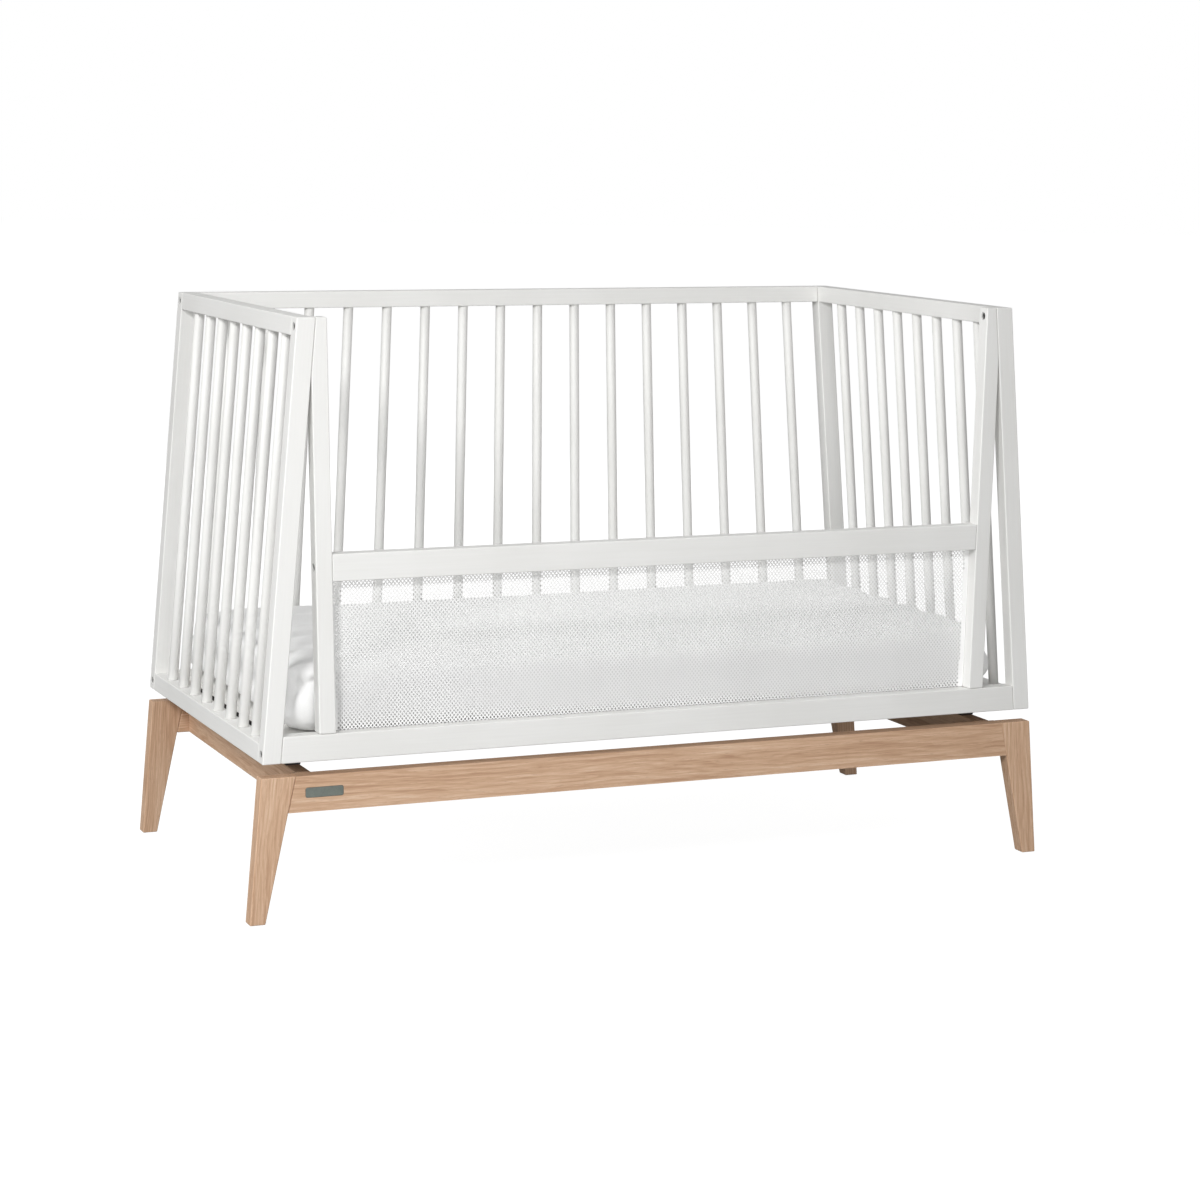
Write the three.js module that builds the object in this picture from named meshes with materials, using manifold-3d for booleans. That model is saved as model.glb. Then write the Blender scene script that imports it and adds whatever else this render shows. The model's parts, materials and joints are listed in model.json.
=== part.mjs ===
// A baby crib with leaning ends: a white slatted body on an oak leg frame, a slatted base and a mattress
// inside, and a low guard with a mesh panel across the front. Millimetres, +Z up, X along the length,
// -Y the open front. The origin is on the floor under the middle.
import * as THREE from "three";
import { mergeVertices } from "three/addons/utils/BufferGeometryUtils.js";
import Module from "manifold-3d";

const wasm = await Module();
wasm.setup();

// ---- Driving dimensions ----

const GAP = 0.3; // between pieces that touch

// The whole crib
const HALF_LENGTH = 660; // to the outer edge of a foot, on the floor
const HALF_DEPTH = 325;
const LEAN = 0.085; // how far each end leans in, for every millimetre of height
const FRAME_DEPTH = 25; // posts, rails and legs, front to back

// Oak leg frame
const LEG_TOP = 218;
const FOOT_WIDTH = 23.5;
const LEG_HEAD_WIDTH = 52;
const LONG_RAIL_BOTTOM = 164;
const CROSS_BAR_X = 570;
const CROSS_BAR_WIDTH = 23;

// White body
const BODY_BOTTOM = 238;
const BODY_TOP = 884;
const POST_WIDTH = 28;
const RAIL_HEIGHT = 27;
const FRONT_RAIL_TOP = 277.5;

// Round slats
const SLAT_RADIUS = 8;
const SLAT_SIDES = 16;
const SOCKET_DEPTH = 10;
const SOCKET_CLEARANCE = 0.4;
const END_SLATS = 8;
const END_SLAT_PITCH = 68;
const BACK_SLATS = 16;
const BACK_PITCH_BELOW = 73; // the back slats fan out downwards
const BACK_PITCH_ABOVE = 67;

// Bolt recesses
const RECESS_RADIUS = 6;
const RECESS_DEPTH = 5;
const RECESS_SIDES = 24;

// Front guard
const GUARD_INNER_AT_FLOOR = 522.6; // where the inner edge's line would reach the floor
const GUARD_LEAN = 0.02;
const GUARD_POST_WIDTH = 25;
const MID_RAIL_BOTTOM = 501.5;
const MID_RAIL_TOP = 542;
const MESH_BACK = 303; // distance of the mesh's rear face in front of the centre plane
const MESH_THICKNESS = 1.2;
const MESH_CLEARANCE = 0.5;

// Steel ties that carry the body, and the slatted base on them
const TIE_THICKNESS = 6;
const TIE_FOOT_INNER = 215;
const TIE_FOOT_OUTER = 247;
const BASE_HALF_LENGTH = 597; // clears the leaning end slats at the raised place
const BASE_RAIL_OUTER = 294;
const BASE_RAIL_INNER = 236;
const BASE_HEIGHT = 26;
const BASE_SLATS = 12;
const BASE_SLAT_WIDTH = 55;
const BASE_SLAT_THICKNESS = 8;
const BASE_SLAT_TENON = 6; // how far a slat reaches into a rail

// Mattress
const MATTRESS_HALF_LENGTH = 592;
const MATTRESS_HALF_WIDTH = 297;
const MATTRESS_TOP = 370;
const MATTRESS_CORNER = 45;
const MATTRESS_EDGE = 22;

// Name plate let into the front long rail
const PLATE_X = -546;
const PLATE_Z = 192.5;
const PLATE_WIDTH = 58;
const PLATE_HEIGHT = 15;
const PLATE_CORNER = 3;
const PLATE_THICKNESS = 1;

// ---- Materials ----

const paint = (color, roughness, metalness = 0) =>
  new THREE.MeshStandardMaterial({ color, roughness, metalness });

const lacquer = () => paint(0xefeeea, 0.45);
const oak = () => paint(0xd4ad86, 0.6);
const baseWood = () => paint(0xe9e7e2, 0.6);
const blackSteel = () => paint(0x1c1c1e, 0.5, 0.6);
const plateMetal = () => paint(0x8d9490, 0.4, 0.9);
const meshCloth = () => paint(0xe9e9e6, 0.9);
const sheetCloth = () => paint(0xf1f0ee, 0.95);

// ---- Geometry helpers ----

const crib = new THREE.Group();

function addPiece(name, geometry, material) {
  const mesh = new THREE.Mesh(geometry, material);
  mesh.name = name;
  crib.add(mesh);
}

// A polygon of [x, z] corners, seen from the front, extruded from y0 back to y1.
function uprightPlate(corners, y0, y1) {
  const shape = new THREE.Shape(corners.map(([x, z]) => new THREE.Vector2(x, z)));
  return uprightShape(shape, y0, y1);
}

function uprightShape(shape, y0, y1) {
  const geometry = new THREE.ExtrudeGeometry(shape, {
    depth: y1 - y0,
    bevelEnabled: false,
    curveSegments: 5,
  });
  return geometry.rotateX(Math.PI / 2).translate(0, y1, 0);
}

function block([x0, y0, z0], [x1, y1, z1]) {
  const geometry = new THREE.BoxGeometry(Math.abs(x1 - x0), Math.abs(y1 - y0), Math.abs(z1 - z0));
  return geometry.translate((x0 + x1) / 2, (y0 + y1) / 2, (z0 + z1) / 2);
}

function rod(start, end, radius, sides) {
  const axis = end.clone().sub(start);
  const geometry = new THREE.CylinderGeometry(radius, radius, axis.length(), sides);
  const turn = new THREE.Quaternion().setFromUnitVectors(new THREE.Vector3(0, 1, 0), axis.clone().normalize());
  const middle = start.clone().add(end).multiplyScalar(0.5);
  return geometry.applyQuaternion(turn).translate(middle.x, middle.y, middle.z);
}

function roundedRectangle(halfWidth, halfHeight, radius) {
  const shape = new THREE.Shape();
  shape.moveTo(-halfWidth + radius, -halfHeight);
  shape.absarc(halfWidth - radius, -halfHeight + radius, radius, -Math.PI / 2, 0);
  shape.absarc(halfWidth - radius, halfHeight - radius, radius, 0, Math.PI / 2);
  shape.absarc(-halfWidth + radius, halfHeight - radius, radius, Math.PI / 2, Math.PI);
  shape.absarc(-halfWidth + radius, -halfHeight + radius, radius, Math.PI, 1.5 * Math.PI);
  return shape;
}

function solidOf(geometry) {
  const bare = geometry.clone();
  bare.deleteAttribute("normal");
  bare.deleteAttribute("uv");
  const merged = mergeVertices(bare, 1e-4);
  return new wasm.Manifold(
    new wasm.Mesh({
      numProp: 3,
      vertProperties: new Float32Array(merged.attributes.position.array),
      triVerts: new Uint32Array(merged.index.array),
    }),
  );
}

function geometryOf(solid) {
  const mesh = solid.getMesh();
  const geometry = new THREE.BufferGeometry();
  geometry.setAttribute("position", new THREE.BufferAttribute(mesh.vertProperties, 3));
  geometry.setIndex(new THREE.BufferAttribute(mesh.triVerts, 1));
  geometry.computeVertexNormals();
  return geometry;
}

function cut(geometry, tools) {
  return geometryOf(tools.reduce((solid, tool) => solid.subtract(solidOf(tool)), solidOf(geometry)));
}

function join(geometries) {
  return geometryOf(geometries.map(solidOf).reduce((whole, piece) => whole.add(piece)));
}

// ---- The leaning end planes ----

const outerX = (z) => HALF_LENGTH - LEAN * z;
const postInnerX = (z) => outerX(z) - POST_WIDTH;
const railMiddleY = HALF_DEPTH - FRAME_DEPTH / 2;
const frameInnerY = HALF_DEPTH - FRAME_DEPTH;
const topRailBottom = BODY_TOP - RAIL_HEIGHT;
const bottomRailTop = BODY_BOTTOM + RAIL_HEIGHT;
const boltLevels = [BODY_BOTTOM + RAIL_HEIGHT / 2, BODY_TOP - RAIL_HEIGHT / 2];

// A level slice of an end panel between two heights, as wide as a post.
function leaningOutline(side, z0, z1) {
  return [
    [side * postInnerX(z0), z0],
    [side * outerX(z0), z0],
    [side * outerX(z1), z1],
    [side * postInnerX(z1), z1],
  ];
}

// A rail's outline between the two end panels, clear of the posts by the gap.
function betweenPosts(z0, z1) {
  return [
    [-postInnerX(z0) + GAP, z0],
    [postInnerX(z0) - GAP, z0],
    [postInnerX(z1) - GAP, z1],
    [-postInnerX(z1) + GAP, z1],
  ];
}

// A bolt recess in a face: its centre on the face and the direction out of it.
function recess(centre, outward) {
  const direction = outward.clone().normalize();
  const floor = centre.clone().addScaledVector(direction, -RECESS_DEPTH);
  const mouth = centre.clone().addScaledVector(direction, 1);
  return rod(floor, mouth, RECESS_RADIUS, RECESS_SIDES);
}

// ---- Slats and their sockets ----

// The slat's axis as a function of height; the slat stops just short of the socket floors.
function slatRod(axisAt, radius, extra) {
  const start = axisAt(bottomRailTop - SOCKET_DEPTH - extra);
  const end = axisAt(topRailBottom + SOCKET_DEPTH + extra);
  return rod(start, end, radius, SLAT_SIDES);
}

const slatOf = (axisAt) => slatRod(axisAt, SLAT_RADIUS, 0);
const socketOf = (axisAt) => slatRod(axisAt, SLAT_RADIUS + SOCKET_CLEARANCE, GAP);

function endSlatAxis(side, index) {
  const y = (index - (END_SLATS - 1) / 2) * END_SLAT_PITCH;
  return (z) => new THREE.Vector3(side * (outerX(z) - POST_WIDTH / 2), y, z);
}

function backSlatAxis(index) {
  const step = index - (BACK_SLATS - 1) / 2;
  const fan = (BACK_PITCH_ABOVE - BACK_PITCH_BELOW) / (topRailBottom - bottomRailTop);
  return (z) => new THREE.Vector3(step * (BACK_PITCH_BELOW + fan * (z - bottomRailTop)), railMiddleY, z);
}

// ---- White body ----

function addPost(name, side, facing) {
  const front = facing < 0 ? -HALF_DEPTH : frameInnerY;
  const outward = new THREE.Vector3(side, 0, LEAN);
  const recesses = boltLevels.map((z) =>
    recess(new THREE.Vector3(side * outerX(z), facing * railMiddleY, z), outward),
  );
  const post = uprightPlate(leaningOutline(side, BODY_BOTTOM, BODY_TOP), front, front + FRAME_DEPTH);
  addPiece(name, cut(post, recesses), lacquer());
}

function addEndPanel(label, side) {
  addPost(`${label}_front_post`, side, -1);
  addPost(`${label}_rear_post`, side, 1);
  const axes = Array.from({ length: END_SLATS }, (_, index) => endSlatAxis(side, index));
  const sockets = axes.map(socketOf);
  const reach = frameInnerY - GAP;
  const topRail = uprightPlate(leaningOutline(side, topRailBottom, BODY_TOP), -reach, reach);
  const bottomRail = uprightPlate(leaningOutline(side, BODY_BOTTOM, bottomRailTop), -reach, reach);
  addPiece(`${label}_top_rail`, cut(topRail, sockets), lacquer());
  addPiece(`${label}_bottom_rail`, cut(bottomRail, sockets), lacquer());
  axes.forEach((axisAt, index) => addPiece(`${label}_slat_${index + 1}`, slatOf(axisAt), lacquer()));
}

function addBackPanel() {
  const axes = Array.from({ length: BACK_SLATS }, (_, index) => backSlatAxis(index));
  const sockets = axes.map(socketOf);
  const topRail = uprightPlate(betweenPosts(topRailBottom, BODY_TOP), frameInnerY, HALF_DEPTH);
  const bottomRail = uprightPlate(betweenPosts(BODY_BOTTOM, bottomRailTop), frameInnerY, HALF_DEPTH);
  addPiece("back_top_rail", cut(topRail, sockets), lacquer());
  addPiece("back_bottom_rail", cut(bottomRail, sockets), lacquer());
  axes.forEach((axisAt, index) => addPiece(`back_slat_${index + 1}`, slatOf(axisAt), lacquer()));
}

function addFrontRail() {
  const rail = uprightPlate(betweenPosts(BODY_BOTTOM, FRONT_RAIL_TOP), -HALF_DEPTH, -frameInnerY);
  addPiece("front_bottom_rail", rail, lacquer());
}

// ---- Front guard ----

const guardInnerX = (z) => GUARD_INNER_AT_FLOOR + GUARD_LEAN * z;

// The guard post leans against the end post from the height where their edges meet up to the top.
function addGuardPost(name, side) {
  const outerAtFloor = GUARD_INNER_AT_FLOOR + GUARD_POST_WIDTH;
  const meetZ = (HALF_LENGTH - POST_WIDTH - GAP - outerAtFloor) / (LEAN + GUARD_LEAN);
  const foot = FRONT_RAIL_TOP + GAP;
  const outline = [
    [guardInnerX(foot), foot],
    [guardInnerX(foot) + GUARD_POST_WIDTH, foot],
    [guardInnerX(meetZ) + GUARD_POST_WIDTH, meetZ],
    [postInnerX(BODY_TOP) - GAP, BODY_TOP],
    [guardInnerX(BODY_TOP), BODY_TOP],
  ].map(([x, z]) => [side * x, z]);
  const topZ = boltLevels[1];
  const railZ = (MID_RAIL_BOTTOM + MID_RAIL_TOP) / 2;
  const toEndPost = recess(
    new THREE.Vector3(side * guardInnerX(topZ), -railMiddleY, topZ),
    new THREE.Vector3(-side, 0, GUARD_LEAN),
  );
  const toMidRail = recess(
    new THREE.Vector3(side * (guardInnerX(railZ) + GUARD_POST_WIDTH), -railMiddleY, railZ),
    new THREE.Vector3(side, 0, -GUARD_LEAN),
  );
  const post = uprightPlate(outline, -HALF_DEPTH, -frameInnerY);
  addPiece(name, cut(post, [toEndPost, toMidRail]), lacquer());
}

function betweenGuardPosts(z0, z1, clearance) {
  return [
    [-guardInnerX(z0) + clearance, z0],
    [guardInnerX(z0) - clearance, z0],
    [guardInnerX(z1) - clearance, z1],
    [-guardInnerX(z1) + clearance, z1],
  ];
}

function addGuard() {
  addGuardPost("guard_left_post", -1);
  addGuardPost("guard_right_post", 1);
  const midRail = betweenGuardPosts(MID_RAIL_BOTTOM, MID_RAIL_TOP, GAP);
  addPiece("guard_mid_rail", uprightPlate(midRail, -HALF_DEPTH, -frameInnerY), lacquer());
  const cloth = betweenGuardPosts(
    FRONT_RAIL_TOP + MESH_CLEARANCE,
    MID_RAIL_BOTTOM - MESH_CLEARANCE,
    MESH_CLEARANCE,
  );
  addPiece("guard_mesh", uprightPlate(cloth, -MESH_BACK - MESH_THICKNESS, -MESH_BACK), meshCloth());
}

// ---- Oak leg frame ----

const legInnerSlope = (outerX(0) - FOOT_WIDTH - (outerX(LEG_TOP) - LEG_HEAD_WIDTH)) / LEG_TOP;
const legInnerX = (z) => outerX(0) - FOOT_WIDTH - legInnerSlope * z;

function addLeg(name, side, facing) {
  const front = facing < 0 ? -HALF_DEPTH : frameInnerY;
  const outline = [
    [side * legInnerX(0), 0],
    [side * outerX(0), 0],
    [side * outerX(LEG_TOP), LEG_TOP],
    [side * legInnerX(LEG_TOP), LEG_TOP],
  ];
  addPiece(name, uprightPlate(outline, front, front + FRAME_DEPTH), oak());
}

function longRailGeometry(y0, y1) {
  const lower = legInnerX(LONG_RAIL_BOTTOM) - GAP;
  const upper = legInnerX(LEG_TOP) - GAP;
  const outline = [
    [-lower, LONG_RAIL_BOTTOM],
    [lower, LONG_RAIL_BOTTOM],
    [upper, LEG_TOP],
    [-upper, LEG_TOP],
  ];
  return uprightPlate(outline, y0, y1);
}

function plateGeometry(grow, y0, y1) {
  const outline = roundedRectangle(PLATE_WIDTH / 2 + grow, PLATE_HEIGHT / 2 + grow, PLATE_CORNER + grow);
  return uprightShape(outline, y0, y1).translate(PLATE_X, 0, PLATE_Z);
}

function addLegFrame() {
  addLeg("front_left_leg", -1, -1);
  addLeg("front_right_leg", 1, -1);
  addLeg("rear_left_leg", -1, 1);
  addLeg("rear_right_leg", 1, 1);
  const pocketFloor = -HALF_DEPTH + PLATE_THICKNESS + GAP;
  const pocket = plateGeometry(GAP, -HALF_DEPTH - 1, pocketFloor);
  addPiece("front_long_rail", cut(longRailGeometry(-HALF_DEPTH, -frameInnerY), [pocket]), oak());
  addPiece("rear_long_rail", longRailGeometry(frameInnerY, HALF_DEPTH), oak());
  addPiece("name_plate", plateGeometry(0, -HALF_DEPTH, -HALF_DEPTH + PLATE_THICKNESS), plateMetal());
  const reach = frameInnerY - GAP;
  for (const [label, side] of [["left", -1], ["right", 1]]) {
    const low = [side * CROSS_BAR_X - CROSS_BAR_WIDTH / 2, -reach, LONG_RAIL_BOTTOM];
    const high = [side * CROSS_BAR_X + CROSS_BAR_WIDTH / 2, reach, LEG_TOP];
    addPiece(`${label}_cross_bar`, block(low, high), oak());
  }
}

// ---- Steel ties, slatted base and mattress ----

// A flat bar from the front rail to the back rail, standing on the oak cross bar by two feet.
function addTie(label, side) {
  const x0 = side * CROSS_BAR_X - CROSS_BAR_WIDTH / 2;
  const x1 = side * CROSS_BAR_X + CROSS_BAR_WIDTH / 2;
  const reach = frameInnerY - GAP;
  const bar = block([x0, -reach, BODY_BOTTOM], [x1, reach, BODY_BOTTOM + TIE_THICKNESS]);
  const feet = [-1, 1].map((facing) =>
    block([x0, facing * TIE_FOOT_INNER, LEG_TOP + GAP], [x1, facing * TIE_FOOT_OUTER, BODY_BOTTOM + 1]),
  );
  addPiece(`${label}_body_tie`, join([bar, ...feet]), blackSteel());
}

const baseBottom = BODY_BOTTOM + TIE_THICKNESS + GAP;
const baseTop = baseBottom + BASE_HEIGHT;

// The base's slats are let in between its two long rails, flush with their tops.
function addSlattedBase() {
  const pitch = (2 * BASE_HALF_LENGTH - BASE_SLAT_WIDTH) / (BASE_SLATS - 1);
  const rails = [-1, 1].map((facing) =>
    block(
      [-BASE_HALF_LENGTH, facing * BASE_RAIL_INNER, baseBottom],
      [BASE_HALF_LENGTH, facing * BASE_RAIL_OUTER, baseTop],
    ),
  );
  const reach = BASE_RAIL_INNER + BASE_SLAT_TENON;
  const slats = Array.from({ length: BASE_SLATS }, (_, index) => {
    const x = (index - (BASE_SLATS - 1) / 2) * pitch;
    return block(
      [x - BASE_SLAT_WIDTH / 2, -reach, baseTop - BASE_SLAT_THICKNESS],
      [x + BASE_SLAT_WIDTH / 2, reach, baseTop],
    );
  });
  addPiece("slatted_base", join([...rails, ...slats]), baseWood());
}

function addMattress() {
  const halfLength = MATTRESS_HALF_LENGTH - MATTRESS_EDGE;
  const halfWidth = MATTRESS_HALF_WIDTH - MATTRESS_EDGE;
  const bottom = baseTop + GAP;
  const outline = roundedRectangle(halfLength, halfWidth, MATTRESS_CORNER - MATTRESS_EDGE);
  const geometry = new THREE.ExtrudeGeometry(outline, {
    depth: MATTRESS_TOP - bottom - 2 * MATTRESS_EDGE,
    bevelThickness: MATTRESS_EDGE,
    bevelSize: MATTRESS_EDGE,
    bevelSegments: 3,
    curveSegments: 4,
  });
  addPiece("mattress", geometry.translate(0, 0, bottom + MATTRESS_EDGE), sheetCloth());
}

// ---- Assembly ----

addLegFrame();
addTie("left", -1);
addTie("right", 1);
addEndPanel("left", -1);
addEndPanel("right", 1);
addBackPanel();
addFrontRail();
addGuard();
addSlattedBase();
addMattress();

export default crib;
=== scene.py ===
import json
import math

import bmesh
import bpy
import numpy as np
from mathutils import Matrix, Vector


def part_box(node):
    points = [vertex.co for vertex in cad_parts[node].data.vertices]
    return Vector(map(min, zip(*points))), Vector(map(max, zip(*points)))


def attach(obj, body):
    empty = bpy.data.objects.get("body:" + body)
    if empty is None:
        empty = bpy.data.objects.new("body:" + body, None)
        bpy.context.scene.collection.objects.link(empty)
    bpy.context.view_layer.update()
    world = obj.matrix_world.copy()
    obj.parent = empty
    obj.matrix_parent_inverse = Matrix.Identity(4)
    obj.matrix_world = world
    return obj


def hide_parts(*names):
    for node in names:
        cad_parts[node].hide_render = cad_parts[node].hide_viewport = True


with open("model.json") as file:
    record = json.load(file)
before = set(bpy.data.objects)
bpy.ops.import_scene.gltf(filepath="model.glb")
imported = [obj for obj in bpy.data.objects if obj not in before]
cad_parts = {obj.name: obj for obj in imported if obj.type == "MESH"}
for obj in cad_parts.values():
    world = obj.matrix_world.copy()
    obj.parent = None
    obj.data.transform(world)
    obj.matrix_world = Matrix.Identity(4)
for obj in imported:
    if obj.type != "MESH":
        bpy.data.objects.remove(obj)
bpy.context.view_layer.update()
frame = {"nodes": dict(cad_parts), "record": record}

MM = 0.001
TURN = 2 * math.pi
NODES = frame["nodes"]
BODY_OF = {n: b for b, members in frame["record"]["behaviour"]["bodies"].items() for n in members}
SLOT_OF = {s["node"]: s["material_slot"] for s in frame["record"]["subparts"]}
CRIB = "crib_frame"

# ---- Camera, at the photo's viewpoint ----

CAMERA_PLACE = Vector((-1.84891, -4.45574, 1.16204))
YAW, PITCH, ROLL = 0.4112, -0.1566, 0.0134
LENS_MM, SENSOR_MM = 90.47, 36.0
SHIFT_X = -0.0333
CAMERA_REACH = 100


def add_camera():
    forward = Vector(
        (math.sin(YAW) * math.cos(PITCH), math.cos(YAW) * math.cos(PITCH), math.sin(PITCH))
    )
    level_right = Vector((math.cos(YAW), -math.sin(YAW), 0))
    level_up = level_right.cross(forward)
    right = math.cos(ROLL) * level_right + math.sin(ROLL) * level_up
    up = math.cos(ROLL) * level_up - math.sin(ROLL) * level_right
    data = bpy.data.cameras.new("camera")
    data.sensor_width = SENSOR_MM
    data.lens = LENS_MM
    data.shift_x = SHIFT_X
    data.clip_end = CAMERA_REACH
    camera = bpy.data.objects.new("camera", data)
    axes = Matrix((right, up, -forward)).transposed()
    camera.matrix_world = Matrix.Translation(CAMERA_PLACE) @ axes.to_4x4()
    bpy.context.scene.collection.objects.link(camera)
    bpy.context.scene.camera = camera


add_camera()

# ---- Node tree helper ----


class Tree:
    """A material's node tree with one Principled shader."""

    def __init__(self, name):
        self.material = bpy.data.materials.new(name)
        self.material.use_nodes = True
        self.nodes = self.material.node_tree.nodes
        self.links = self.material.node_tree.links
        self.nodes.clear()
        self.shader = self.add("ShaderNodeBsdfPrincipled")
        output = self.add("ShaderNodeOutputMaterial")
        self.links.new(self.shader.outputs["BSDF"], output.inputs["Surface"])

    def add(self, kind, inputs=None, **settings):
        node = self.nodes.new(kind)
        for key, value in settings.items():
            setattr(node, key, value)
        for key, value in (inputs or {}).items():
            self.feed(node.inputs[key], value)
        return node

    def feed(self, socket, value):
        if isinstance(value, bpy.types.NodeSocket):
            self.links.new(value, socket)
        else:
            socket.default_value = value

    def set(self, **values):
        for key, value in values.items():
            self.feed(self.shader.inputs[key.replace("_", " ")], value)

    def math(self, operation, a, b=0.0, c=None):
        node = self.add("ShaderNodeMath", operation=operation)
        self.feed(node.inputs[0], a)
        self.feed(node.inputs[1], b)
        if c is not None:
            self.feed(node.inputs[2], c)
        return node.outputs[0]

    def weighted(self, *parts):
        """The sum of parts, each a value and its weight."""
        scaled = [self.math("MULTIPLY", value, weight) for value, weight in parts]
        total = scaled[0]
        for part in scaled[1:]:
            total = self.math("ADD", total, part)
        return total

    def spread(self, value, low, high, to_low=0.0, to_high=1.0):
        """value's range low to high, mapped smoothly to to_low to to_high."""
        inputs = {
            "Value": value,
            "From Min": low,
            "From Max": high,
            "To Min": to_low,
            "To Max": to_high,
        }
        node = self.add("ShaderNodeMapRange", inputs, interpolation_type="SMOOTHSTEP")
        return node.outputs["Result"]

    def noise(self, vector, scale, detail=3.0, roughness=0.55, distortion=0.0):
        """Noise whose features are 1/scale metres across; scale is one number or one an axis."""
        if not isinstance(scale, (int, float)):
            stretch = self.add("ShaderNodeVectorMath", {0: vector, 1: scale}, operation="MULTIPLY")
            vector = stretch.outputs[0]
            scale = 1.0
        inputs = {
            "Vector": vector,
            "Scale": scale,
            "Detail": detail,
            "Roughness": roughness,
            "Distortion": distortion,
        }
        return self.add("ShaderNodeTexNoise", inputs).outputs["Fac"]

    def ramp(self, value, stops):
        node = self.add("ShaderNodeValToRGB", {"Fac": value})
        elements = node.color_ramp.elements
        while len(elements) < len(stops):
            elements.new(0.5)
        for element, (place, color) in zip(elements, stops):
            element.position = place
            element.color = (*color, 1)
        return node.outputs["Color"]

    def shade(self, tone, dark, light, low=0.3, high=0.7):
        """A colour from dark to light as tone goes from low to high."""
        return self.ramp(self.spread(tone, low, high), [(0.0, dark), (1.0, light)])

    def mix(self, share, a, b):
        node = self.add("ShaderNodeMix", data_type="RGBA", blend_type="MIX")
        self.feed(node.inputs["Factor"], share)
        self.feed(node.inputs[6], a)
        self.feed(node.inputs[7], b)
        return node.outputs[2]

    def bump(self, height, distance, strength, under=None):
        inputs = {"Height": height, "Distance": distance, "Strength": strength}
        node = self.add("ShaderNodeBump", inputs)
        if under is not None:
            self.feed(node.inputs["Normal"], under)
        return node.outputs["Normal"]

    def grain(self):
        """The piece's own coordinates in metres: X runs along the grain."""
        return self.add("ShaderNodeAttribute", attribute_name="grain").outputs["Vector"]

    def place(self):
        return self.add("ShaderNodeTexCoord").outputs["Object"]


# ---- Materials ----

OAK_RINGS = 210.0  # growth rings a metre
OAK_SWAY = 0.055  # how far, in metres, the rings swing to the side
OAK_TILT = 0.020  # how fast a board runs out of its ring
OAK_WOBBLE = 0.0045
OAK_TONES = [
    (0.0, (0.435, 0.252, 0.156)),
    (0.35, (0.580, 0.372, 0.240)),
    (0.65, (0.680, 0.464, 0.317)),
    (1.0, (0.790, 0.596, 0.442)),
]
OAK_PORE = (0.28, 0.145, 0.085, 1)


def oak_ring(t, grain):
    """How far through its growth ring each point lies, 0 to 1."""
    axes = t.add("ShaderNodeSeparateXYZ", {"Vector": grain}).outputs
    sway = t.noise(grain, (3.2, 16, 16), detail=3, roughness=0.5)
    wobble = t.noise(grain, (14, 70, 70), detail=3, roughness=0.6)
    across = t.math("ADD", axes["Y"], t.math("MULTIPLY", sway, OAK_SWAY))
    depth = t.math("ADD", axes["Z"], t.math("MULTIPLY", axes["X"], OAK_TILT))
    depth = t.math("ADD", depth, t.math("MULTIPLY", wobble, OAK_WOBBLE))
    square = t.math("ADD", t.math("POWER", across, 2.0), t.math("POWER", depth, 2.0))
    return t.math("FRACT", t.math("MULTIPLY", t.math("SQRT", square), OAK_RINGS))


def oak():
    """Pale oak: plain-sawn figure, uneven streaks and fine pores that gather in the early wood."""
    t = Tree("oak")
    g = t.grain()
    ring = oak_ring(t, g)
    late = t.math("MULTIPLY", t.spread(ring, 0.15, 0.80), t.spread(ring, 1.0, 0.86))
    broad = t.noise(g, (2.2, 38, 38), detail=3, roughness=0.55, distortion=0.6)
    streak = t.noise(g, (9, 260, 260), detail=5, roughness=0.65, distortion=0.3)
    fine = t.noise(g, (26, 1100, 1100), detail=2, roughness=0.6)
    pores = t.noise(g, (85, 1900, 1900), detail=2, roughness=0.5)
    tone = t.weighted((broad, 0.30), (streak, 0.40), (fine, 0.34), (late, -0.075))
    base = t.ramp(t.spread(tone, 0.24, 0.76), OAK_TONES)
    early = t.spread(ring, 0.45, 0.05, 0.25, 1.0)
    pore = t.math("MULTIPLY", t.spread(pores, 0.56, 0.70), early)
    t.set(Base_Color=t.mix(t.math("MULTIPLY", pore, 0.50), base, OAK_PORE))
    t.set(Roughness=t.spread(streak, 0.2, 0.8, 0.66, 0.52), Specular_IOR_Level=0.25)
    t.set(Normal=t.bump(t.weighted((fine, 0.5), (pore, -0.6)), 0.3 * MM, 0.6))
    return t.material


def lacquer():
    """Warm white satin lacquer with a trace of the wood under it."""
    t = Tree("white_lacquer")
    g = t.grain()
    grain = t.noise(g, (9, 320, 320))
    cloud = t.noise(g, (5, 5, 5), detail=2)
    skin = t.noise(g, 420.0, detail=1)
    tone = t.weighted((grain, 0.35), (cloud, 0.65))
    t.set(Base_Color=t.shade(tone, (0.800, 0.797, 0.775), (0.845, 0.843, 0.825)))
    t.set(Roughness=t.spread(cloud, 0.3, 0.7, 0.40, 0.50), Specular_IOR_Level=0.45)
    t.set(Normal=t.bump(t.weighted((grain, 0.7), (skin, 1.0)), 0.06 * MM, 0.5))
    return t.material


def painted_wood():
    """White paint on the slatted base, with the grain showing faintly through."""
    t = Tree("base_wood")
    g = t.grain()
    streak = t.noise(g, (5, 160, 160), detail=4)
    cloud = t.noise(g, (6, 6, 6), detail=2)
    tone = t.weighted((streak, 0.6), (cloud, 0.4))
    t.set(Base_Color=t.shade(tone, (0.770, 0.762, 0.735), (0.830, 0.825, 0.805), 0.25, 0.75))
    t.set(Roughness=t.spread(cloud, 0.3, 0.7, 0.52, 0.66), Specular_IOR_Level=0.35)
    t.set(Normal=t.bump(streak, 0.12 * MM, 0.5))
    return t.material


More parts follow.
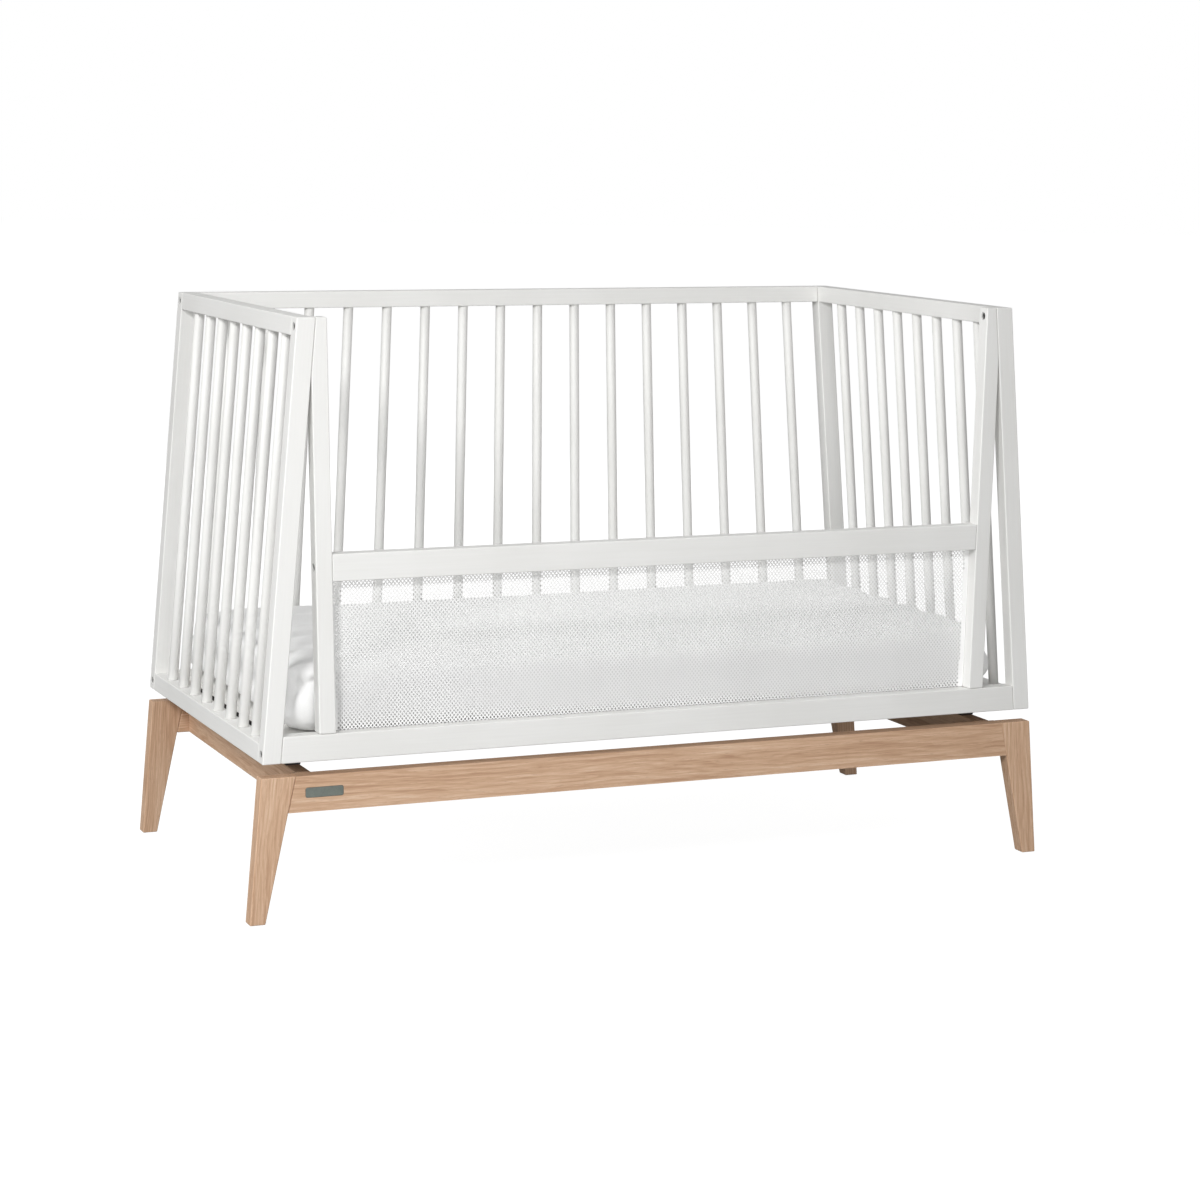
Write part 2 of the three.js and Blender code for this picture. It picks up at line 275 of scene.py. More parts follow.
def black_steel():
    """Black powder coat with its fine orange-peel skin."""
    t = Tree("black_steel")
    p = t.place()
    skin = t.noise(p, 900.0, detail=2)
    cloud = t.noise(p, 25.0, detail=2)
    t.set(Base_Color=t.ramp(cloud, [(0.3, (0.018, 0.012, 0.011)), (0.7, (0.032, 0.022, 0.021))]))
    t.set(Roughness=t.spread(skin, 0.3, 0.7, 0.42, 0.56), Metallic=0.0)
    t.set(Normal=t.bump(skin, 0.15 * MM, 0.6))
    return t.material


def brushed(name, dark, light, scale, rough):
    """Metal with fine lines, which scale stretches along each axis."""
    t = Tree(name)
    p = t.place()
    lines = t.noise(p, scale)
    cloud = t.noise(p, 60.0, detail=2)
    t.set(Base_Color=t.shade(t.weighted((lines, 0.6), (cloud, 0.4)), dark, light))
    t.set(Roughness=t.spread(lines, 0.3, 0.7, rough, rough + 0.14), Metallic=0.85)
    t.set(Normal=t.bump(lines, 0.05 * MM, 0.5))
    return t.material


WEAVE_PITCH = 1.4 * MM


def weave(t, p):
    """Height of a plain weave in the planes of the mattress's faces."""
    axes = t.add("ShaderNodeSeparateXYZ", {"Vector": p}).outputs
    turns = TURN / WEAVE_PITCH
    x, y, z = (t.math("SINE", t.math("MULTIPLY", axes[a], turns)) for a in "XYZ")
    return t.weighted((t.math("MULTIPLY", x, y), 0.5), (z, 0.25))


def sheet_cloth():
    """White cotton jersey of the fitted sheet."""
    t = Tree("sheet_cloth")
    p = t.place()
    cloud = t.noise(p, 9.0)
    fuzz = t.noise(p, 700.0, detail=2)
    tone = t.weighted((cloud, 0.6), (fuzz, 0.4))
    t.set(Base_Color=t.shade(tone, (0.770, 0.770, 0.765), (0.840, 0.840, 0.835)))
    t.set(Roughness=t.spread(fuzz, 0.3, 0.7, 0.84, 0.95), Sheen_Weight=0.25, Sheen_Roughness=0.5)
    soft = t.bump(t.noise(p, (22, 30, 26)), 1.6 * MM, 0.35)
    fine = t.math("ADD", weave(t, p), fuzz)
    t.set(Normal=t.bump(fine, 0.12 * MM, 0.6, soft), Specular_IOR_Level=0.25)
    return t.material


def net_cloth():
    """White knitted yarn of the net."""
    t = Tree("mesh_cloth")
    p = t.place()
    yarn = t.noise(p, (1500, 400, 1500), detail=2)
    cloud = t.noise(p, 12.0, detail=2)
    tone = t.weighted((cloud, 0.5), (yarn, 0.5))
    t.set(Base_Color=t.shade(tone, (0.90, 0.90, 0.895), (0.95, 0.95, 0.945)))
    t.set(Roughness=t.spread(yarn, 0.3, 0.7, 0.8, 0.92), Sheen_Weight=0.2)
    t.set(Normal=t.bump(yarn, 0.2 * MM, 0.5))
    return t.material


def plate_metal():
    lines = (300, 4000, 4000)
    return brushed("plate_metal", (0.150, 0.172, 0.155), (0.240, 0.265, 0.238), lines, 0.40)


def bolt_metal():
    even = (700, 700, 700)
    return brushed("bolt_metal", (0.11, 0.11, 0.105), (0.22, 0.22, 0.215), even, 0.28)


MATERIALS = {
    "oak": oak(),
    "white_lacquer": lacquer(),
    "base_wood": painted_wood(),
    "black_steel": black_steel(),
    "plate_metal": plate_metal(),
    "sheet_cloth": sheet_cloth(),
    "mesh_cloth": net_cloth(),
}
BOLT_METAL = bolt_metal()

# ---- Making pieces ----

WELD = 0.02 * MM  # points nearer than this are one
FLAT = math.radians(0.6)  # faces nearer than this in direction are one
SHARP = math.radians(25)  # edges sharper than this are rounded
CREASE = math.radians(40)  # edges sharper than this stay creased in the shading
STEEP = 0.7  # above this share of Y, a grain runs front to back
FACE_WEIGHT = 60


def piece(name, mesh, body, material, replaced=()):
    mesh.name = name
    mesh.materials.clear()
    mesh.materials.append(material)
    obj = bpy.data.objects.new(name, mesh)
    bpy.context.scene.collection.objects.link(obj)
    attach(obj, body)
    if replaced:
        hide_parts(*replaced)
    return obj


def mesh_of(bm, name):
    mesh = bpy.data.meshes.new(name)
    bm.to_mesh(mesh)
    bm.free()
    return mesh


def set_grain(mesh, along_of_face, offset):
    """Stores each corner's coordinates along and across the grain."""
    layer = mesh.attributes.new("grain", "FLOAT_VECTOR", "CORNER")
    values = np.zeros((len(mesh.loops), 3), np.float32)
    for polygon in mesh.polygons:
        along = along_of_face(polygon)
        side = Vector((0, 1, 0)) if abs(along.y) < STEEP else Vector((0, 0, 1))
        across = along.cross(side).normalized()
        axes = (along, across, along.cross(across))
        for i in polygon.loop_indices:
            co = mesh.vertices[mesh.loops[i].vertex_index].co
            values[i] = [axis.dot(co) + start for axis, start in zip(axes, offset)]
    layer.data.foreach_set("vector", values.ravel())


def seat_of(name):
    """A fixed shift of the grain for each piece, so that no two look alike."""
    code = sum((i + 1) * ord(c) for i, c in enumerate(name))
    return ((code * 0.617) % 7.0, 0.05 + (code * 0.0137) % 0.09, 0.03 + (code * 0.0071) % 0.08)


def keep_flats(obj):
    """Smooth shading in which large faces keep their own direction and bevels turn between them."""
    normals = obj.modifiers.new("normals", "WEIGHTED_NORMAL")
    normals.mode = "FACE_AREA"
    normals.weight = FACE_WEIGHT
    normals.keep_sharp = True


def cleaned(node):
    """A node's mesh with its triangles joined into flat faces."""
    bm = bmesh.new()
    bm.from_mesh(NODES[node].data)
    bmesh.ops.remove_doubles(bm, verts=bm.verts, dist=WELD)
    bmesh.ops.dissolve_limit(bm, angle_limit=FLAT, verts=bm.verts, edges=bm.edges)
    return bm


SHORTEST_ROUNDED = 12 * MM  # shorter edges, such as those of a bolt recess, stay crisp


def is_rounded(edge):
    """Whether an edge is a long outer one."""
    if len(edge.link_faces) != 2 or not edge.is_convex:
        return False
    return edge.calc_length() > SHORTEST_ROUNDED and edge.calc_face_angle() > SHARP


def bevelled(node, width, segments=3):
    """A copy of a CAD node's mesh with its long outer edges rounded."""
    bm = cleaned(node)
    bmesh.ops.bevel(
        bm,
        geom=[edge for edge in bm.edges if is_rounded(edge)],
        offset=width,
        offset_type="OFFSET",
        segments=segments,
        profile=0.5,
        affect="EDGES",
        clamp_overlap=True,
        loop_slide=True,
    )
    for face in bm.faces:
        face.smooth = True
    for edge in bm.edges:
        edge.smooth = len(edge.link_faces) != 2 or edge.calc_face_angle() <= CREASE
    return mesh_of(bm, node)


LEAN = 0.085  # how far posts and legs lean in, for each metre of height
GUARD_LEAN = 0.02


def grain_direction(node):
    low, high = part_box(node)
    size = high - low
    if "post" in node or node.endswith("_leg"):
        lean = GUARD_LEAN if node.startswith("guard_") else LEAN
        side = 1 if (low.x + high.x) > 0 else -1
        return Vector((-side * lean, 0, 1)).normalized()
    return Vector((1, 0, 0)) if size.x > size.y else Vector((0, 1, 0))


EDGE_ROUNDING = {"white_lacquer": 1.7 * MM, "oak": 1.6 * MM, "black_steel": 0.7 * MM}


def add_board(node):
    slot = SLOT_OF[node]
    mesh = bevelled(node, EDGE_ROUNDING[slot])
    along = grain_direction(node)
    set_grain(mesh, lambda polygon: along, seat_of(node))
    keep_flats(piece(node + "_shaped", mesh, BODY_OF[node], MATERIALS[slot], [node]))


# ---- Round slats ----

SLAT_SIDES = 32
SLAT_CHAMFER = 1.0 * MM
SLAT_CREASE = math.radians(30)


def slat_ends(node):
    """Centres of the slat's two ends, from its CAD mesh."""
    co = np.array([v.co for v in NODES[node].data.vertices])
    middle = (co[:, 2].min() + co[:, 2].max()) / 2
    return [Vector(co[part].mean(0)) for part in (co[:, 2] < middle, co[:, 2] > middle)]


def slat_radius(node, start, axis):
    return max((v.co - start).cross(axis).length for v in NODES[node].data.vertices)


def tube(rings, sides, start, axis):
    """A closed lathe form: rings of (height, radius) about an axis that begins at start."""
    side = axis.orthogonal().normalized()
    other = axis.cross(side)
    spokes = [math.cos(TURN * i / sides) * side + math.sin(TURN * i / sides) * other for i in range(sides)]
    bm = bmesh.new()
    loops = [
        [bm.verts.new(start + axis * height + radius * spoke) for spoke in spokes]
        for height, radius in rings
    ]
    for lower, upper in zip(loops, loops[1:]):
        for i in range(sides):
            j = (i + 1) % sides
            bm.faces.new((lower[i], lower[j], upper[j], upper[i])).smooth = True
    bm.faces.new(list(reversed(loops[0])))
    bm.faces.new(loops[-1])
    return bm


def add_slat(node):
    start, end = slat_ends(node)
    axis = (end - start).normalized()
    length = (end - start).length
    radius = slat_radius(node, start, axis)
    narrow = radius - SLAT_CHAMFER
    rings = [
        (0, narrow),
        (SLAT_CHAMFER, radius),
        (length / 3, radius),
        (2 * length / 3, radius),
        (length - SLAT_CHAMFER, radius),
        (length, narrow),
    ]
    bm = tube(rings, SLAT_SIDES, start, axis)
    for edge in bm.edges:
        edge.smooth = edge.calc_face_angle() < SLAT_CREASE
    mesh = mesh_of(bm, node)
    set_grain(mesh, lambda polygon: axis, seat_of(node))
    slot = SLOT_OF[node]
    piece(node + "_round", mesh, BODY_OF[node], MATERIALS[slot], [node])


# ---- Bolts ----

BOLT_SIDES = 24
BOLT = {"radius": 5.1 * MM, "height": 3.6 * MM, "across": 5 * MM, "depth": 2.4 * MM}
BOLT_LIFT = 0.1 * MM  # the gap under a bolt's head
RECESS_RADIUS = 6 * MM
HEAD_EDGE = 0.12  # a head's rounded edge, as a share of its radius
SOCKET_BEVEL = 0.04  # depth of the socket's bevel, as a share of the head's radius
SOCKET_MOUTH = 1.08  # the socket's mouth beside its own width
BOLTED_POSTS = (
    "left_front_post",
    "left_rear_post",
    "right_front_post",
    "right_rear_post",
    "guard_left_post",
    "guard_right_post",
)


def hexagon_outline(across):
    """A hexagon drawn with as many points as a bolt's circle; across is its width over the flats."""
    sector = TURN / 6
    points = []
    for i in range(BOLT_SIDES):
        angle = TURN * i / BOLT_SIDES
        from_flat = (angle + sector / 2) % sector - sector / 2
        radius = across / 2 / math.cos(from_flat)
        points.append((radius * math.cos(angle), radius * math.sin(angle)))
    return points


def socket_head(bm, seat, axis, radius, height, across, depth):
    """A round bolt head with a hexagon socket, standing on seat."""
    side = axis.orthogonal().normalized()
    other = axis.cross(side)
    edge = HEAD_EDGE * radius
    profile = [
        (0, radius),
        (height - edge, radius),
        (height - 0.3 * edge, radius - 0.3 * edge),
        (height, radius - edge),
    ]
    turns = [TURN * i / BOLT_SIDES for i in range(BOLT_SIDES)]
    loops = [[(r * math.cos(a), r * math.sin(a), h) for a in turns] for h, r in profile]
    hexagon = hexagon_outline(across)
    loops.append([(SOCKET_MOUTH * x, SOCKET_MOUTH * y, height) for x, y in hexagon])
    loops.append([(x, y, height - SOCKET_BEVEL * radius) for x, y in hexagon])
    loops.append([(x, y, height - depth) for x, y in hexagon])
    made = [
        [bm.verts.new(seat + side * x + other * y + axis * h) for x, y, h in loop] for loop in loops
    ]
    for outer, inner in zip(made, made[1:]):
        for i in range(BOLT_SIDES):
            j = (i + 1) % BOLT_SIDES
            bm.faces.new((outer[i], outer[j], inner[j], inner[i]))
    bm.faces.new(list(reversed(made[0])))
    bm.faces.new(made[-1])


def recess_floors(node):
    """Centre and outward direction of each bolt recess in a post, from its round floor."""
    bm = cleaned(node)
    full = math.pi * RECESS_RADIUS**2
    floors = [
        (face.calc_center_median(), face.normal.copy())
        for face in bm.faces
        if abs(face.normal.x) > 0.9 and 0.9 * full < face.calc_area() < 1.02 * full
    ]
    bm.free()
    return sorted(floors, key=lambda floor: floor[0].z)


def add_bolts():
    for node in BOLTED_POSTS:
        for number, (seat, outward) in enumerate(recess_floors(node)):
            bm = bmesh.new()
            socket_head(bm, seat + outward * BOLT_LIFT, outward, **BOLT)
            mesh = mesh_of(bm, "bolt")
            piece(f"{node}_bolt_{number + 1}", mesh, CRIB, BOLT_METAL)


# ---- Slatted base ----

BASE_RAIL_INNER = 236 * MM  # inner face of the base's long rails
BASE_ROUNDING = 1.2 * MM
SCREW = {"radius": 3.6 * MM, "height": 0.22 * MM, "across": 3 * MM, "depth": 0.16 * MM}
SCREW_INSET = 16 * MM
NEAR_CENTRE = 50 * MM


def base_grain(polygon):
    """Along Y on the cross slats and along X on the long rails."""
    on_slat = abs(polygon.center.y) < BASE_RAIL_INNER - 0.5 * MM and abs(polygon.normal.y) < 0.9
    return Vector((0, 1, 0)) if on_slat else Vector((1, 0, 0))


def slat_middles(node):
    """Middle of each cross slat, from its two long side faces."""
    bm = cleaned(node)
    sides = sorted(
        (f.calc_center_median().x, f.normal.x)
        for f in bm.faces
        if abs(f.normal.x) > 0.9 and abs(f.calc_center_median().y) < NEAR_CENTRE
    )
    bm.free()
    return [(low + high) / 2 for (low, facing), (high, _) in zip(sides, sides[1:]) if facing < 0]


def add_slatted_base():
    node = "slatted_base"
    mesh = bevelled(node, BASE_ROUNDING, segments=2)
    set_grain(mesh, base_grain, seat_of(node))
    keep_flats(piece("slatted_base_shaped", mesh, node, MATERIALS["base_wood"], [node]))
    low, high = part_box(node)
    screws = bmesh.new()
    for x in slat_middles(node):
        for y in (low.y + SCREW_INSET, high.y - SCREW_INSET):
            socket_head(screws, Vector((x, y, high.z)), Vector((0, 0, 1)), **SCREW)
    piece("slatted_base_screws", mesh_of(screws, "screws"), node, BOLT_METAL)


# ---- Name plate ----

PLATE_ROUNDING = 0.35 * MM


def add_name_plate():
    node = "name_plate"
    bm = cleaned(node)
    low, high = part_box(node)
    front = [e for e in bm.edges if all(v.co.y < low.y + 0.05 * MM for v in e.verts)]
    bmesh.ops.bevel(bm, geom=front, offset=PLATE_ROUNDING, segments=3, profile=0.5, affect="EDGES")
    for face in bm.faces:
        face.smooth = True
    mesh = mesh_of(bm, node)
    metal = MATERIALS["plate_metal"]
    keep_flats(piece("name_plate_blank", mesh, CRIB, metal, [node]))


# ---- Guard net ----

NET_PITCH_X = 5.8 * MM
NET_PITCH_Z = 7.1 * MM
NET_HOLE = 0.62  # a hole's width as a share of its cell
NET_HEM = 8 * MM  # width of the closed strip along each post
NET_HEM_HOLE = 0.05
NET_WELD = 0.01 * MM
SMALLEST_FACE = 1e-9  # square metres
STILL_EDGE = 30 * MM  # over this width the net's waves die out towards a post
POST_RIPPLE = 50 * MM  # how far the ripple beside a post reaches


class NetOutline:
    """The net's heights and its half width, which grows or shrinks evenly with the height."""

    def __init__(self):
        self.low, self.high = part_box("guard_mesh")
        co = np.array([v.co for v in NODES["guard_mesh"].data.vertices])
        self.half_low = co[co[:, 2] < self.low.z + 0.1 * MM][:, 0].max()
        self.half_high = co[co[:, 2] > self.high.z - 0.1 * MM][:, 0].max()
        self.height = self.high.z - self.low.z

    def half_at(self, z):
        return self.half_low + (self.half_high - self.half_low) / self.height * (z - self.low.z)

    def clip_z(self, z):
        return np.clip(z, self.low.z, self.high.z)


def net_cells(outline):
    """Corners of each cell and of its hole, in staggered rows, as far as they lie in the outline."""
    low, high = outline.low.z, outline.high.z
    rows = int(outline.height / (NET_PITCH_Z / 2)) + 2
    columns = int(2 * outline.half_high / NET_PITCH_X) + 3
    row, column = (index.ravel() for index in np.mgrid[:rows, :columns])
    x = -outline.half_high + (column - 1 + 0.5 * (row % 2)) * NET_PITCH_X
    cells = np.column_stack([x, low + row * NET_PITCH_Z / 2])
    corners = np.array([(1, 0), (0, 1), (-1, 0), (0, -1)]) * (NET_PITCH_X / 2, NET_PITCH_Z / 2)
    in_hem = np.abs(cells[:, 0]) > outline.half_at(cells[:, 1]) - NET_HEM
    hole = np.where(in_hem, NET_HEM_HOLE, NET_HOLE)
    outer = cells[:, None, :] + corners[None]
    inner = cells[:, None, :] + corners[None] * hole[:, None, None]
    half = outline.half_at(outline.clip_z(outer[..., 1]))
    inside = (np.abs(outer[..., 0]) < half - NET_WELD) & (outer[..., 1] > low) & (outer[..., 1] < high)
    kept = inside.any(1)
    return outer[kept], inner[kept]


def net_depth(points, outline):
    """The net's slight waves, still at its edges."""
    x, z = points[:, 0], points[:, 1]
    up = (z - outline.low.z) / outline.height
    from_post = outline.half_low - np.abs(x)
    free = np.clip(4 * up * (1 - up), 0, 1) ** 0.5 * np.clip(from_post / STILL_EDGE, 0, 1) ** 0.5
    near_right_post = np.exp(-(((outline.half_low - x) / POST_RIPPLE) ** 2))
    wave = 0.45 * np.sin(17 * x + 4 * up) + 0.35 * np.sin(41 * x - 3 * up + 1.3)
    ripple = 0.7 * near_right_post * np.sin(TURN * up * 3.2 + 0.6)
    return (outline.low.y + outline.high.y) / 2 + free * (wave + ripple) * MM


def net_mesh(outline):
    """Four faces round each hole, joined to the neighbouring cells at their corners."""
    outer, inner = net_cells(outline)
    points = np.concatenate([outer.reshape(-1, 2), inner.reshape(-1, 2)])
    points[:, 1] = outline.clip_z(points[:, 1])
    half = outline.half_at(points[:, 1])
    points[:, 0] = np.clip(points[:, 0], -half, half)
    count = 4 * len(outer)
    keys = np.round(points[:count] / NET_WELD).astype(np.int64)
    _, first, shared = np.unique(keys, axis=0, return_index=True, return_inverse=True)
    shared = shared.reshape(-1, 4)
    holes = len(first) + np.arange(count).reshape(-1, 4)
    flat = np.concatenate([points[:count][first], points[count:]])
    quads = np.concatenate(
        [
            np.stack([shared[:, i], shared[:, j], holes[:, j], holes[:, i]], axis=1)
            for i, j in ((0, 1), (1, 2), (2, 3), (3, 0))
        ]
    )
    co = np.column_stack([flat[:, 0], net_depth(flat, outline), flat[:, 1]])
    a, b, c, d = (co[quads[:, i]] for i in range(4))
    area = 0.5 * np.linalg.norm(np.cross(c - a, d - b), axis=1)
    mesh = bpy.data.meshes.new("guard_net")
    mesh.from_pydata(co.tolist(), [], quads[area > SMALLEST_FACE].tolist())
    mesh.validate()
    return mesh


def add_net():
    outline = NetOutline()
    mesh = net_mesh(outline)
    obj = piece("guard_net", mesh, CRIB, MATERIALS["mesh_cloth"], ["guard_mesh"])


# ---- Mattress in its fitted sheet ----

MATTRESS_START = 2.0 * MM  # how much smaller the foam starts than its CAD solid
MATTRESS_CAP = 6.0 * MM  # the furthest that the cloth may move
MATTRESS_VOXEL = 9.0 * MM
SIM_FRAMES = 20
CLOTH = {
    "quality": 5,
    "mass": 0.3,
    "tension_stiffness": 15,
    "compression_stiffness": 15,
    "bending_stiffness": 0.6,
    "use_pressure": True,
    "uniform_pressure_force": 4.0,
}


def apply_all(obj):
    """Replaces the object's mesh by what its modifiers make of it."""
    evaluated = obj.evaluated_get(bpy.context.evaluated_depsgraph_get())
    mesh = bpy.data.meshes.new_from_object(evaluated)
    obj.modifiers.clear()
    obj.data = mesh


def points_of(collection, key):
    """A mesh's vectors, such as its vertices' places, as rows."""
    values = np.zeros(3 * len(collection))
    collection.foreach_get(key, values)
    return values.reshape(-1, 3)


def move_points(mesh, co):
    mesh.vertices.foreach_set("co", co.astype(np.float32).ravel())
    mesh.update()


def swell(obj):
    """Blows the cover up a little with the cloth solver, then limits how far each point moved."""
    rest = points_of(obj.data.vertices, "co")
    cloth = obj.modifiers.new("cloth", "CLOTH")
    for key, value in CLOTH.items():
        setattr(cloth.settings, key, value)
    cloth.settings.effector_weights.gravity = 0.0
    cloth.collision_settings.use_self_collision = False
    cloth.collision_settings.use_collision = False
    scene = bpy.context.scene
    scene.frame_start, scene.frame_end = 1, SIM_FRAMES
    cloth.point_cache.frame_start, cloth.point_cache.frame_end = 1, SIM_FRAMES
    for number in range(1, SIM_FRAMES + 1):
        scene.frame_set(number)
        bpy.context.view_layer.update()
    apply_all(obj)
    scene.frame_set(1)
    moved = points_of(obj.data.vertices, "co") - rest
    length = np.linalg.norm(moved, axis=1, keepdims=True)
    moved *= np.minimum(1.0, MATTRESS_CAP / np.maximum(length, 1e-9))
    move_points(obj.data, rest + moved)


def smooth_step(x, start, end):
    t = np.clip((x - start) / (end - start), 0, 1)
    return t * t * (3 - 2 * t)


def hump(x, width):
    return np.exp(-((x / width) ** 2))


# Heights and depths of the sheet's folds are in millimetres. Their places, pitches and reaches are
# in metres, or in shares of the mattress's thickness where they're measured upwards. The swings
# inside the sines keep the folds uneven.
LONG_FOLD, LONG_FOLD_PITCH = 2.3, 0.096
SHORT_FOLD, SHORT_FOLD_PITCH = 0.45, 0.051  # beside the long folds
DRIFT = 0.9
EDGE_FOLD_LEFT, EDGE_FOLD_RIGHT = 13.0, 7.0
EDGE_FOLD_LEVEL, EDGE_FOLD_CLIMB = 0.47, 0.36
EDGE_FOLD_ABOVE, EDGE_FOLD_NARROWS, EDGE_FOLD_BELOW = 0.27, 0.19, 0.12
GATHER, GATHER_PITCH_X, GATHER_PITCH_Y = 0.4, 0.031, 0.033
CORNER, CORNER_LEVEL, CORNER_REACH = 18.0, 0.40, 0.30


def top_folds(x, y, from_end, from_side):
    """Long folds that start at each end of the top, and a slow drift all over it."""
    swing = 2.2 * np.sin(x * 7.0 + 0.6) + np.where(x < 0, 0.0, 1.7)
    ridges = np.sin(y * TURN / LONG_FOLD_PITCH + swing)
    ridges += SHORT_FOLD * np.sin(y * TURN / SHORT_FOLD_PITCH + 3.1 * np.sin(x * 9.0))
    near_end = smooth_step(from_end, 0.30, 0.06) * smooth_step(from_end, 0.0, 0.03)
    fade = near_end * smooth_step(from_side, 0.0, 0.05)
    across = np.sin(y * 11.3 + 0.8 * np.sin(x * 5.0) + 1.0)
    drift = np.sin(x * 9.1 + 1.5 * np.sin(y * 6.0)) * across
    return LONG_FOLD * fade * ridges + DRIFT * drift


def edge_fold(x, up, along):
    """A fold under the top's edge: half way down at the ends, it climbs and runs along the sides."""
    turned = smooth_step(along, -0.03, 0.05)
    level = EDGE_FOLD_LEVEL + EDGE_FOLD_CLIMB * turned
    above = EDGE_FOLD_ABOVE - EDGE_FOLD_NARROWS * turned
    width = np.where(up > level, above, EDGE_FOLD_BELOW)
    depth = np.where(x < 0, EDGE_FOLD_LEFT, EDGE_FOLD_RIGHT) * smooth_step(along, 0.16, 0.03)
    return depth * hump(up - level, width)


def gathers(x, y, up):
    """Small gathers low on the sides."""
    waves = np.sin(x * TURN / GATHER_PITCH_X + 1.3 * np.sin(x * 13))
    waves += np.sin(y * TURN / GATHER_PITCH_Y)
    return GATHER * waves * smooth_step(up, 0.55, 0.1)


def sheet_folds(co, normal, low, high):
    """How far the sheet's soft folds lift each point off the foam."""
    x, y, z = co.T
    half = (np.array(high) - np.array(low)) / 2
    middle = (np.array(high) + np.array(low)) / 2
    top = np.clip(normal[:, 2], 0, 1) ** 2
    side = np.clip(1 - normal[:, 2] ** 2, 0, 1)
    from_end = half[0] - np.abs(x - middle[0])
    from_side = half[1] - np.abs(y - middle[1])
    up = (z - low[2]) / (2 * half[2])
    on_end = np.abs(normal[:, 0]) > np.abs(normal[:, 1])
    along = np.where(on_end, -from_side, from_end)
    corner = smooth_step(from_end, 0.07, 0.01) * smooth_step(from_side, 0.09, 0.02)
    full = CORNER * corner * hump(up - CORNER_LEVEL, CORNER_REACH)
    lift = top * top_folds(x, y, from_end, from_side)
    lift += side * (full + gathers(x, y, up) - edge_fold(x, up, along))
    return lift * MM


def mattress_core(node, low, high):
    """The CAD mattress a little smaller, as one even skin of small faces."""
    middle = (low + high) / 2
    share = Vector([(half - MATTRESS_START) / half for half in (high - low) / 2])
    mesh = NODES[node].data.copy()
    for vertex in mesh.vertices:
        vertex.co = middle + (vertex.co - middle) * share
    obj = bpy.data.objects.new("mattress_cover", mesh)
    bpy.context.scene.collection.objects.link(obj)
    remesh = obj.modifiers.new("remesh", "REMESH")
    remesh.mode = "VOXEL"
    remesh.voxel_size = MATTRESS_VOXEL
    smooth = obj.modifiers.new("smooth", "SMOOTH")
    smooth.factor = 0.5
    smooth.iterations = 4
    apply_all(obj)
    return obj


def add_mattress():
    node = "mattress"
    low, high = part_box(node)
    obj = mattress_core(node, low, high)
    swell(obj)
    finer = obj.modifiers.new("finer", "SUBSURF")
    finer.levels = finer.render_levels = 1
    apply_all(obj)
    mesh = obj.data
    co = points_of(mesh.vertices, "co")
    normal = points_of(mesh.vertex_normals, "vector")
    co += normal * sheet_folds(co, normal, low, high)[:, None]
    co[:, 2] = np.maximum(co[:, 2], low.z)
    move_points(mesh, co)
    mesh.polygons.foreach_set("use_smooth", [True] * len(mesh.polygons))
    mesh.materials.clear()
    mesh.materials.append(MATERIALS["sheet_cloth"])
    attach(obj, "mattress")
    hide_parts(node)


# ---- Build the object ----

for name in sorted(NODES):
    if "slat_" in name:
        add_slat(name)
    elif name not in ("slatted_base", "mattress", "guard_mesh", "name_plate"):
        add_board(name)
add_bolts()
add_slatted_base()
add_name_plate()
add_net()
add_mattress()

# ---- Floor, lights and background ----

WHITE = (1, 1, 1, 1)
FLOOR_RADIUS = 30
FLOOR_SEEN = 0.90  # the floor's own light as the camera sees it, above what it gives the object
FLOOR_GIVEN = 0.04
WORLD_SEEN = 1.0
WORLD_GIVEN = 0.30
# Each light's place and target, diameter in metres, power in watts, and whether gloss mirrors it
LIGHTS = {
    "key": ((-2.7, -3.0, 2.3), (0, 0, 0.45), 0.8, 92, True),
    "front": ((-0.4, -2.9, 0.35), (0, 0, 0.2), 1.6, 29, True),
    "left": ((-4.4, -0.5, 1.7), (0, 0, 0.5), 1.6, 58, True),
    "top": ((-0.5, 0.0, 5.0), (0, 0, 0.4), 2.4, 32, True),
    "back": ((0.8, 5.2, 1.8), (0, 0, 0.4), 3.0, 70, False),
    "right": ((5.0, 0.9, 1.5), (0, 0, 0.4), 2.6, 26, False),
}


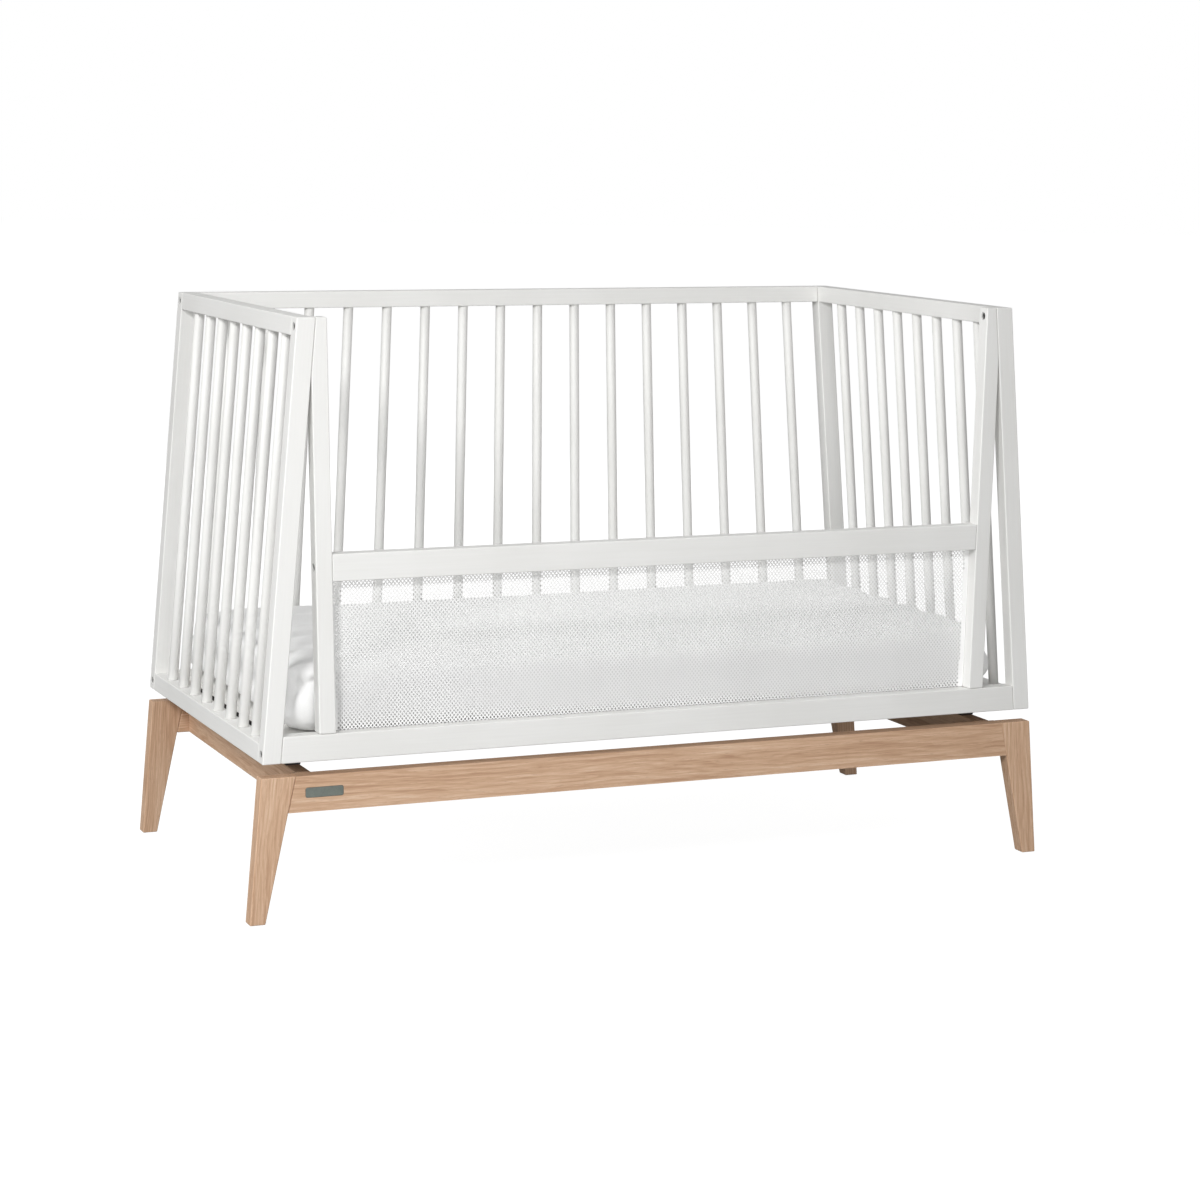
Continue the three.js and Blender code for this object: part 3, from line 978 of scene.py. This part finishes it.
def add_floor():
    t = Tree("floor")
    tone = t.noise(t.place(), 1.4, detail=2)
    t.set(Base_Color=t.ramp(tone, [(0.3, (0.19, 0.19, 0.19)), (0.7, (0.21, 0.21, 0.21))]))
    t.set(Roughness=0.9, Specular_IOR_Level=0.1)
    seen = t.add("ShaderNodeLightPath").outputs["Is Camera Ray"]
    strength = t.math("MULTIPLY_ADD", seen, FLOOR_SEEN, FLOOR_GIVEN)
    t.set(Emission_Color=WHITE, Emission_Strength=strength)
    bm = bmesh.new()
    bmesh.ops.create_circle(bm, cap_ends=True, radius=FLOOR_RADIUS, segments=96)
    mesh = mesh_of(bm, "floor")
    mesh.materials.append(t.material)
    floor = bpy.data.objects.new("floor", mesh)
    floor.location.z = -0.5 * MM
    bpy.context.scene.collection.objects.link(floor)


def add_area_light(name, place, target, size, power, mirrored):
    data = bpy.data.lights.new(name, "AREA")
    data.shape = "DISK"
    data.size = size
    data.energy = power
    light = bpy.data.objects.new(name, data)
    light.location = place
    light.visible_camera = False
    light.visible_glossy = mirrored
    light.rotation_euler = (Vector(target) - Vector(place)).to_track_quat("-Z", "Y").to_euler()
    bpy.context.scene.collection.objects.link(light)


def add_world():
    """Soft white surroundings, seen as plain white."""
    world = bpy.data.worlds.new("world")
    world.use_nodes = True
    nodes, links = world.node_tree.nodes, world.node_tree.links
    nodes.clear()
    seen = nodes.new("ShaderNodeBackground")
    given = nodes.new("ShaderNodeBackground")
    for background, strength in ((seen, WORLD_SEEN), (given, WORLD_GIVEN)):
        background.inputs["Color"].default_value = WHITE
        background.inputs["Strength"].default_value = strength
    mix = nodes.new("ShaderNodeMixShader")
    path = nodes.new("ShaderNodeLightPath")
    output = nodes.new("ShaderNodeOutputWorld")
    links.new(path.outputs["Is Camera Ray"], mix.inputs[0])
    links.new(given.outputs[0], mix.inputs[1])
    links.new(seen.outputs[0], mix.inputs[2])
    links.new(mix.outputs[0], output.inputs["Surface"])
    bpy.context.scene.world = world


add_floor()
add_world()
for name, settings in LIGHTS.items():
    add_area_light(name, *settings)
bpy.context.scene.view_settings.view_transform = "Standard"
